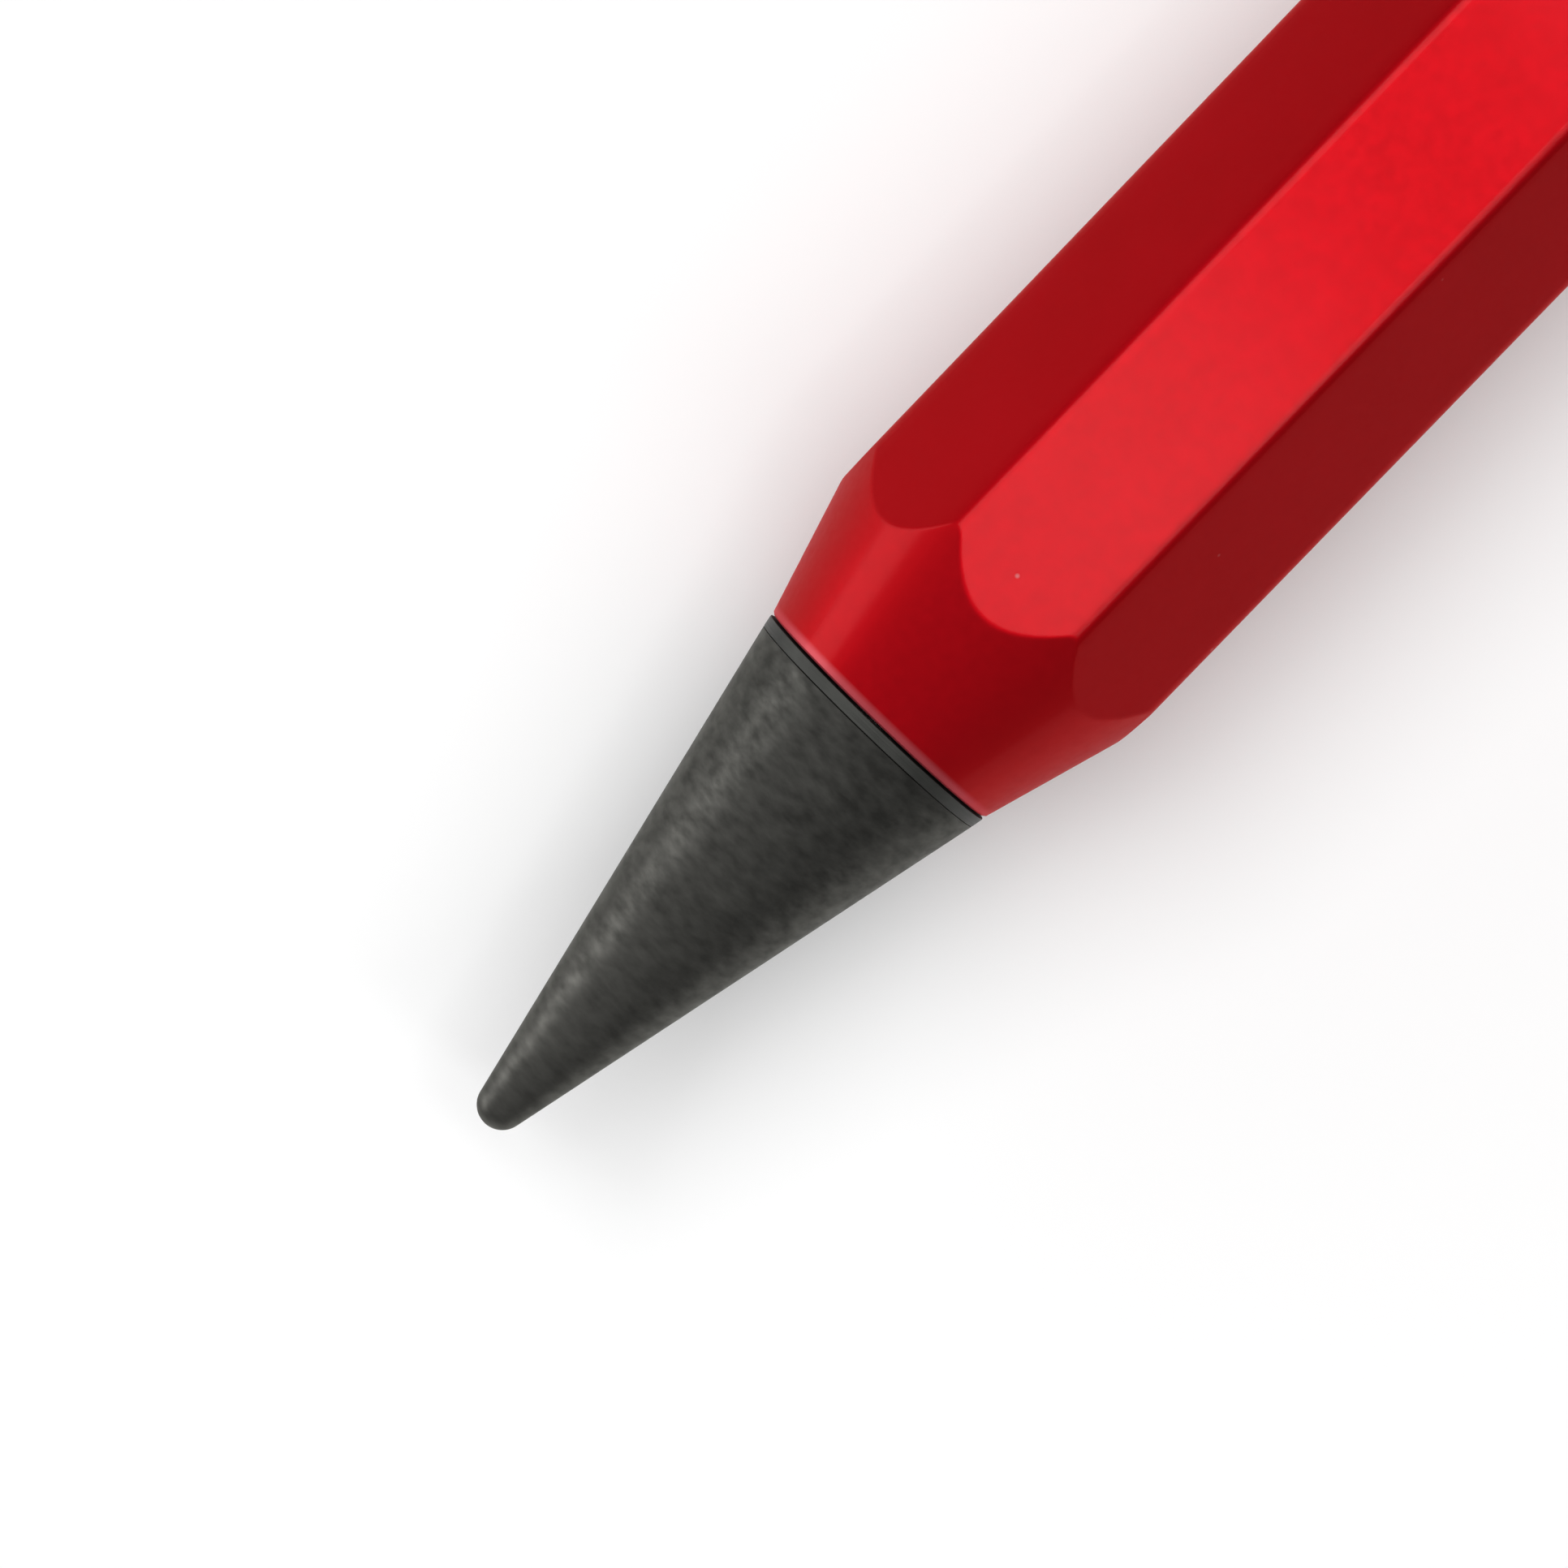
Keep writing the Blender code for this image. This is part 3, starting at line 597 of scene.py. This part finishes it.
def coil_tree():
    """Coil a round wire: close end turns, and an even pitch between them."""
    sizes = {"Front": spring_front, "Rear": spring_rear, "Axis Height": axis_z,
             "Coil Radius": (main_bore + tube_radius) / 2, "Wire": SPRING_WIRE, "Turns": SPRING_TURNS,
             "End Pitch": SPRING_END_PITCH}
    tree, given = new_tree("coil_wire", sizes)
    size = given.outputs
    line = add_node(tree, "GeometryNodeCurvePrimitiveLine")
    points = add_node(tree, "GeometryNodeResampleCurve", {"Curve": line.outputs[0],
                                                          "Count": SPRING_TURNS * SPRING_TURN_POINTS + 1})
    along = add_node(tree, "GeometryNodeSplineParameter").outputs["Factor"]
    turns = maths(tree, "MULTIPLY", along, size["Turns"])
    first = maths(tree, "MINIMUM", turns, 1.0)
    before_last = maths(tree, "SUBTRACT", size["Turns"], 1.0)
    last = maths(tree, "MAXIMUM", maths(tree, "SUBTRACT", turns, before_last), 0.0)
    close = maths(tree, "ADD", first, last)
    reach = maths(tree, "SUBTRACT", maths(tree, "SUBTRACT", size["Rear"], size["Front"]), size["Wire"])
    open_reach = maths(tree, "MULTIPLY_ADD", size["End Pitch"], -2.0, reach)
    pitch = maths(tree, "DIVIDE", open_reach, maths(tree, "SUBTRACT", size["Turns"], 2.0))
    start = maths(tree, "MULTIPLY_ADD", size["Wire"], 0.5, size["Front"])
    after_close = maths(tree, "MULTIPLY_ADD", close, size["End Pitch"], start)
    x = maths(tree, "MULTIPLY_ADD", maths(tree, "SUBTRACT", turns, close), pitch, after_close)
    angle = maths(tree, "MULTIPLY", turns, math.tau)
    y = maths(tree, "MULTIPLY", size["Coil Radius"], maths(tree, "SINE", angle))
    z = maths(tree, "MULTIPLY_ADD", size["Coil Radius"], maths(tree, "COSINE", angle), size["Axis Height"])
    place = add_node(tree, "ShaderNodeCombineXYZ", (x, y, z)).outputs[0]
    helix = add_node(tree, "GeometryNodeSetPosition", {"Geometry": points.outputs[0], "Position": place})
    section = add_node(tree, "GeometryNodeCurvePrimitiveCircle", {
        "Resolution": WIRE_SIDES, "Radius": maths(tree, "MULTIPLY", size["Wire"], 0.5)})
    wire = add_node(tree, "GeometryNodeCurveToMesh", {
        "Curve": helix.outputs[0], "Profile Curve": section.outputs[0], "Fill Caps": True})
    close_tree(tree, given, wire.outputs[0])
    return tree, sizes


spring_steel = drawn_metal("spring_wire", SPRING_DARK, SPRING_LIGHT, SPRING_ROUGHNESS)
coil_wire, spring_sizes = coil_tree()
coil_start = bpy.data.meshes.new("coil_start")
spring_mesh = grown_mesh("coil_spring", coil_start, coil_wire, spring_sizes, spring_steel)
smooth_shading(spring_mesh)
coil_spring = add_piece("coil_spring", spring_mesh, "barrel", "spring_steel", "return_spring")
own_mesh(coil_spring)

# Spring collar and retaining ring. A brass collar slips on the tube and takes the spring's push, and an open
# ring of spring steel, snapped into the tube's groove, stops it.
COLLAR_CHAMFER = 0.00025
RING_WIDTH = 0.0006
RING_EDGE = 0.00006
RING_OPENING = math.radians(50.0)
collar_front, collar_rear, collar_radius = extent("spring_collar")
add_turned("spring_stop", ring_outline(collar_front, collar_rear, tube_fit, collar_radius, COLLAR_CHAMFER),
           turned_brass, "clutch", "brass", "spring_collar")
ring_bore = groove_radius + PRESS_FIT
add_turned("split_ring", ring_outline(ring_front, ring_rear, ring_bore, ring_bore + RING_WIDTH, RING_EDGE),
           spring_steel, "clutch", "spring_steel", "retaining_ring",
           start=RING_OPENING / 2, span=math.tau - RING_OPENING)

# Push button. A turned steel cap with three finger grooves and a domed end, glued on a brass insert that
# sits on the end of the lead tube.
BUTTON_CHAMFER = 0.0003
BUTTON_DOME = 0.0012
BUTTON_GROOVES = 3
BUTTON_GROOVE = 0.00025
BUTTON_GROOVE_PITCH = 0.0013
INSERT_CHAMFER = 0.0001
DOME_STEPS = 24
insert_front, insert_rear, insert_radius = extent("button_insert")
add_turned("button_core", ring_outline(insert_front, insert_rear, tube_fit, insert_radius, INSERT_CHAMFER),
           turned_brass, "clutch", "brass", "button_insert")
button_front, button_rear, button_radius = extent("push_button")
button_hole = insert_radius + PRESS_FIT
hole_floor = insert_rear + SLIDE_FIT
dome_start = button_rear - BUTTON_DOME
button_outline = [(button_front, button_hole), (button_front, button_radius - BUTTON_CHAMFER),
                  (button_front + BUTTON_CHAMFER, button_radius)]
for groove in range(BUTTON_GROOVES, 0, -1):
    middle = dome_start - groove * BUTTON_GROOVE_PITCH
    button_outline += [(middle - BUTTON_GROOVE, button_radius), (middle, button_radius - BUTTON_GROOVE),
                       (middle + BUTTON_GROOVE, button_radius)]
for step in range(DOME_STEPS):
    rise = math.pi / 2 * step / DOME_STEPS
    button_outline.append((dome_start + BUTTON_DOME * math.sin(rise), button_radius * math.cos(rise)))
button_outline += [(button_rear, 0), (hole_floor, 0), (hole_floor, button_hole)]
add_turned("rear_button", button_outline, satin_steel, "clutch", "bright_steel", "push_button")

# Point stem. A ground steel pin with both its ends chamfered. Its front is glued in the graphite, and the
# clutch jaws grip the rest of it.
STEM_CHAMFER = 0.0003
STEM_STEEL_DARK = (0.52, 0.52, 0.51)
STEM_STEEL_LIGHT = (0.62, 0.62, 0.61)
STEM_STEEL_ROUGHNESS = 0.20
ground_steel = turned_metal("ground_steel", STEM_STEEL_DARK, STEM_STEEL_LIGHT, STEM_STEEL_ROUGHNESS)
add_turned("steel_stem",
           [(stem_front, 0), (stem_front, stem_radius - STEM_CHAMFER),
            (stem_front + STEM_CHAMFER, stem_radius), (stem_rear - STEM_CHAMFER, stem_radius),
            (stem_rear, stem_radius - STEM_CHAMFER), (stem_rear, 0)],
           ground_steel, "point", "bright_steel", "point_stem")

# Point collar. A thin ring of dark steel, as wide as the mouth, pressed on the stem. It lies between the
# barrel and the graphite, and the seams on both its sides show only as hairlines.
COLLAR_EDGE = 0.00001
SEAM_CLOSING = 0.00004
DARK_STEEL_DARK = (0.044, 0.045, 0.042)
DARK_STEEL_LIGHT = (0.066, 0.067, 0.062)
DARK_STEEL_ROUGHNESS = 0.52
foot_front, foot_rear, foot_radius = extent("point_collar")
cone_front, cone_rear, cone_radius = extent("graphite_point")
stem_hole = stem_radius + PRESS_FIT
foot_slope = (foot_radius - cone_radius) / (foot_rear - cone_rear)
foot_front_radius = foot_radius - (foot_rear - foot_front) * foot_slope
foot_rear += SEAM_CLOSING
dark_steel = turned_metal("dark_steel", DARK_STEEL_DARK, DARK_STEEL_LIGHT, DARK_STEEL_ROUGHNESS)
add_turned("grey_collar",
           [(foot_front, stem_hole), (foot_front, foot_front_radius - COLLAR_EDGE),
            (foot_front + COLLAR_EDGE, foot_front_radius + COLLAR_EDGE * foot_slope),
            (foot_rear - COLLAR_EDGE, foot_radius - COLLAR_EDGE * foot_slope),
            (foot_rear, foot_radius - COLLAR_EDGE), (foot_rear, stem_hole)],
           dark_steel, "point", "grey_steel", "point_collar")

# Graphite point. A cone turned from solid graphite, with a round tip and a socket for the stem. The lathe
# leaves short streaks round it, and the grain is mottled.
TIP_RADIUS = 0.00055
TIP_STEPS = 24
CONE_STEPS = 128
CONE_ROWS = 12
CONE_EDGE = 0.00001
SOCKET_DEPTH = 0.0050
GRAPHITE_DARK = (0.036, 0.0355, 0.0325)
GRAPHITE_LIGHT = (0.106, 0.1045, 0.096)
GRAPHITE_SHEEN = (0.80, 0.80, 0.77, 1.0)
GRAPHITE_SMOOTH = 0.43
GRAPHITE_ROUGH = 0.49
STREAK_SHARE = 0.75
STREAK_DEPTH = 0.000004
TIP_LIGHTER = 0.09
FOOT_DARKER = -0.17


def turned_graphite():
    """Graphite: dark, with a soft sheen, mottled, streaked round the cone, lighter towards the tip and
    darker towards the foot.
    """
    material, tree, shader, place = new_finish("turned_graphite")
    streaks = noise(tree, place, grain=0.00048, detail=2.5, stretch_by=(2.1, 1.0, 1.0))
    blotches = noise(tree, place, grain=0.0013, stretch_by=(1.6, 1.0, 1.0))
    grain = maths(tree, "MULTIPLY_ADD", streaks, STREAK_SHARE,
                  maths(tree, "MULTIPLY", blotches, 1 - STREAK_SHARE))
    x = add_node(tree, "ShaderNodeSeparateXYZ", (place,)).outputs["X"]
    # The tone is made lighter towards the tip and darker towards the foot.
    tone = maths(tree, "ADD", grain, stretch(tree, x, cone_front, cone_rear, TIP_LIGHTER, FOOT_DARKER))
    colour = tint(tree, even_out(tree, tone, 0.0, 1.0, low=0.2, high=0.8), GRAPHITE_DARK, GRAPHITE_LIGHT)
    tree.links.new(colour, shader.inputs["Base Color"])
    satin = even_out(tree, streaks, GRAPHITE_ROUGH, GRAPHITE_SMOOTH)
    tree.links.new(satin, shader.inputs["Roughness"])
    shader.inputs["Metallic"].default_value = 1.0
    shader.inputs["Specular Tint"].default_value = GRAPHITE_SHEEN
    bump(tree, shader, streaks, STREAK_DEPTH)
    return material


tip_centre = cone_front + TIP_RADIUS
cone_reach = cone_rear - tip_centre
foot_distance = math.hypot(cone_radius, cone_reach)
cone_angle = math.acos(TIP_RADIUS / foot_distance) - math.atan2(cone_reach, cone_radius)
tip_shoulder_x = tip_centre - TIP_RADIUS * math.sin(cone_angle)
tip_shoulder_radius = TIP_RADIUS * math.cos(cone_angle)
base_x = cone_rear + SEAM_CLOSING
base_radius = cone_radius + SEAM_CLOSING * math.tan(cone_angle)
edge_x = base_x - CONE_EDGE
edge_radius = base_radius - CONE_EDGE * math.tan(cone_angle)
cone_outline = [(base_x, stem_hole), (base_x, base_radius - CONE_EDGE)]
for row in range(CONE_ROWS):
    share = row / CONE_ROWS
    cone_outline.append((edge_x + (tip_shoulder_x - edge_x) * share,
                         edge_radius + (tip_shoulder_radius - edge_radius) * share))
for step in range(TIP_STEPS):
    turn = cone_angle + (math.pi / 2 - cone_angle) * step / TIP_STEPS
    cone_outline.append((tip_centre - TIP_RADIUS * math.sin(turn), TIP_RADIUS * math.cos(turn)))
socket_end = cone_rear - SOCKET_DEPTH
cone_outline += [(cone_front, 0), (socket_end, 0), (socket_end, stem_hole)]
add_turned("graphite_cone", cone_outline, turned_graphite(), "point", "graphite", "graphite_point",
           steps=CONE_STEPS)

# Floor. A plain white table top, wide enough to fill the view from any side. It shows as white from its own
# colour and keeps the holder's shadow.
FLOOR_HALF = 1.5
FLOOR_DROP = 0.00002
FLOOR_WHITE = 0.87
FLOOR_ROUGHNESS = 0.9
floor_mesh = bpy.data.meshes.new("floor")
floor_mesh.from_pydata([(-FLOOR_HALF, -FLOOR_HALF, -FLOOR_DROP), (FLOOR_HALF, -FLOOR_HALF, -FLOOR_DROP),
                        (FLOOR_HALF, FLOOR_HALF, -FLOOR_DROP), (-FLOOR_HALF, FLOOR_HALF, -FLOOR_DROP)],
                       [], [(0, 1, 2, 3)])
floor = bpy.data.objects.new("floor", floor_mesh)
bpy.context.scene.collection.objects.link(floor)
floor_finish, _, floor_shader, _ = new_finish("pale_floor")
floor_shader.inputs["Base Color"].default_value = (FLOOR_WHITE, FLOOR_WHITE, FLOOR_WHITE, 1.0)
floor_shader.inputs["Roughness"].default_value = FLOOR_ROUGHNESS
floor_mesh.materials.append(floor_finish)

# Light. Four soft boxes hang over the table, face down: one over the nose, one behind the rear, and one on
# each side. A fifth stands low at the front left, and the room is dim, but lighter in front of the nose.
ROOM_GREY = 0.08
ROOM_FRONT = 0.50
LAMP_HEIGHT = 1.0


def soft_box(name, place, aim, width, depth, brightness):
    """A rectangular soft box that faces a point. Its brightness is that of its face, where 1 is white."""
    lamp = bpy.data.lights.new(name, "AREA")
    lamp.shape = "RECTANGLE"
    lamp.size = width
    lamp.size_y = depth
    lamp.energy = brightness * math.pi * width * depth
    stand = bpy.data.objects.new(name, lamp)
    stand.location = place
    stand.rotation_euler = (Vector(aim) - Vector(place)).to_track_quat("-Z", "Y").to_euler()
    stand.visible_camera = False
    bpy.context.scene.collection.objects.link(stand)


def hanging_box(name, x, y, width, depth, brightness):
    """A soft box that hangs face down over a place on the table."""
    soft_box(name, (x, y, LAMP_HEIGHT), (x, y, 0.0), width, depth, brightness)


hanging_box("over_the_nose", x=-0.045, y=-0.05, width=0.15, depth=0.70, brightness=7.3)
hanging_box("over_the_rear", x=0.24, y=-0.05, width=0.16, depth=0.70, brightness=7.6)
hanging_box("over_the_left", x=0.06, y=0.70, width=0.52, depth=0.80, brightness=5.6)
hanging_box("over_the_right", x=0.04, y=-0.75, width=0.24, depth=0.82, brightness=6.2)
soft_box("front_left", place=(-0.75, 1.09, 0.25), aim=(-0.045, 0.0, 0.004), width=1.15, depth=0.52,
         brightness=3.4)
room = bpy.data.worlds.new("room")
room.use_nodes = True
room_tree = room.node_tree
direction = add_node(room_tree, "ShaderNodeTexCoord").outputs["Generated"]
to_rear = add_node(room_tree, "ShaderNodeSeparateXYZ", (direction,)).outputs["X"]
room_light = stretch(room_tree, to_rear, -1.0, 0.0, ROOM_FRONT, ROOM_GREY)
room_tree.links.new(room_light, room_tree.nodes["Background"].inputs["Color"])
bpy.context.scene.world = room
bpy.context.scene.view_settings.view_transform = "Standard"

# Camera. Nearly straight above the nose, close up, with the holder running to the upper right. Its place is
# set from where the middle of the mouth lies in the camera's own axes.
CAMERA_TURN = Euler((-0.0305, 0.0780, -0.8030), "ZYX")
MOUTH_IN_VIEW = Vector((0.0020022, 0.0014619, -0.0895457))
CAMERA_LENS = 97.5
CAMERA_SENSOR = 36.0
CAMERA_NEAR = 0.005
camera = bpy.data.cameras.new("camera")
camera.lens = CAMERA_LENS
camera.sensor_width = CAMERA_SENSOR
camera.clip_start = CAMERA_NEAR
camera_stand = bpy.data.objects.new("camera", camera)
camera_stand.rotation_mode = "ZYX"
camera_stand.rotation_euler = CAMERA_TURN
camera_stand.location = Vector((mouth_x, 0, axis_z)) - CAMERA_TURN.to_matrix() @ MOUTH_IN_VIEW
bpy.context.scene.collection.objects.link(camera_stand)
bpy.context.scene.camera = camera_stand
